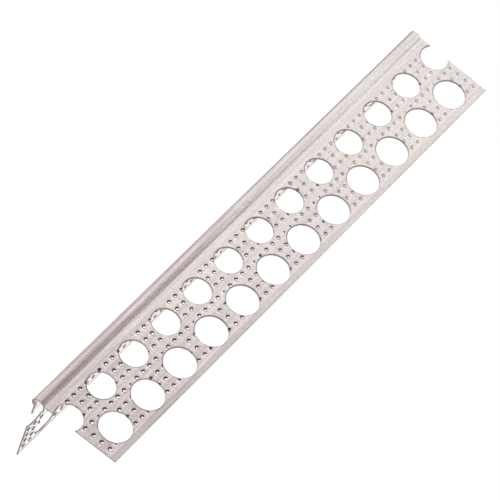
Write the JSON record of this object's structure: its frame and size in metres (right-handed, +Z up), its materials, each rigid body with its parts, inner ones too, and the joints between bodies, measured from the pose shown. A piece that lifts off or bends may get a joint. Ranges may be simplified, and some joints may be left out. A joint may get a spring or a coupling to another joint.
{
  "type": "perforated corner bead",
  "caption": "Roll-formed perforated metal corner bead: two punched and dimpled wings meet at a hollow rounded nose that covers an outside wall corner.",
  "frame": {"origin": "middle of the base: under the bead, at the middle of the length, at the height of the wings' edges", "axes": "+X along the strip towards its square end, +Z up through the bead, the wing that the picture shows on the -Y side"},
  "size_m": [0.2006, 0.0424, 0.0232],
  "materials": {
    "zinc_steel": "satin zinc coating with fine lines along the strip"
  },
  "bodies": {
    "root": {"corner_bead": "zinc_steel"}
  },
  "joints": []
}
